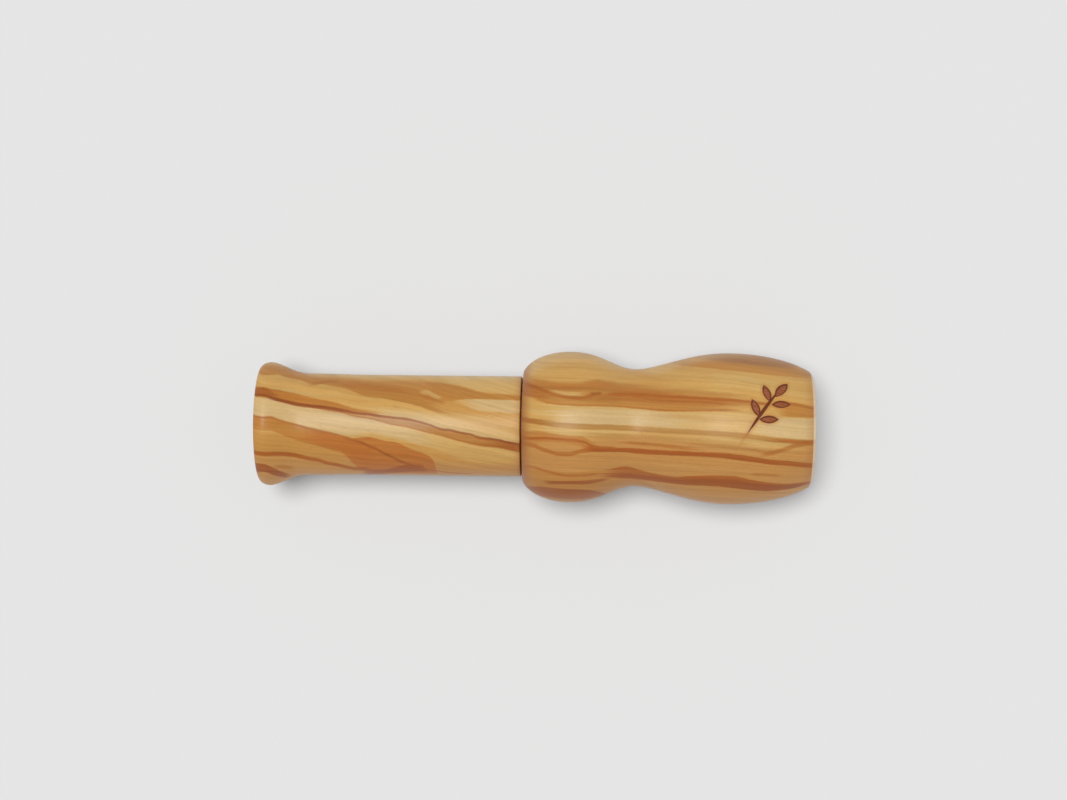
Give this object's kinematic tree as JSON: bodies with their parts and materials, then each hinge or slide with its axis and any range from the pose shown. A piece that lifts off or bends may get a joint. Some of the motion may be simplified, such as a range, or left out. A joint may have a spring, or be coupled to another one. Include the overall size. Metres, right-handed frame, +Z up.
{
  "type": "bird call",
  "caption": "Turned wooden reed call for birds: a gourd-shaped barrel with a mouth bore, and a flared stopper that carries the tone board, reeds and cork wedge inside it.",
  "frame": {"origin": "on the surface that the call lies on, under the middle of its length", "axes": "+X along the call from the stopper's flared end to the mouth, +Z up"},
  "size_m": [0.1238, 0.0338, 0.0338],
  "materials": {
    "barrel_wood": "satin",
    "stopper_wood": "satin",
    "tone_board_wood": "satin",
    "seal_rubber": "matte",
    "reed_film": "satin",
    "cork": "matte"
  },
  "bodies": {
    "barrel": {"barrel": "barrel_wood"},
    "seal_rings": {"rear_seal_ring": "seal_rubber", "front_seal_ring": "seal_rubber"},
    "stopper": {"stopper": "stopper_wood", "tone_board": "tone_board_wood", "lower_reed_tail": "reed_film", "upper_reed_tail": "reed_film", "cork_wedge": "cork"},
    "lower_reed": {"lower_reed_tongue": "reed_film"},
    "upper_reed": {"upper_reed_tongue": "reed_film"}
  },
  "joints": [
    {"name": "stopper_pull", "type": "slide", "parent": "barrel", "child": "seal_rings", "axis": [-1, 0, 0], "range_m": [0, 0.056]},
    {"name": "stopper_turn", "type": "hinge", "parent": "seal_rings", "child": "stopper", "pos_m": [-0.0027, 0, 0.0169], "axis": [1, 0, 0], "continuous": true},
    {"name": "lower_reed_flex", "type": "hinge", "parent": "stopper", "child": "lower_reed", "pos_m": [0.0273, 0, 0.0173], "axis": [0, 1, 0], "range_deg": [0, 4], "stiffness_Nm_per_rad": 0.026, "deforming": ["lower_reed_tongue"]},
    {"name": "upper_reed_flex", "type": "hinge", "parent": "stopper", "child": "upper_reed", "pos_m": [0.0273, 0, 0.01765], "axis": [0, 1, 0], "range_deg": [0, 4], "stiffness_Nm_per_rad": 0.011, "deforming": ["upper_reed_tongue"]}
  ],
  "couplings": [
    {"joint": "upper_reed_flex", "follows": "lower_reed_flex", "ratio": 1}
  ]
}
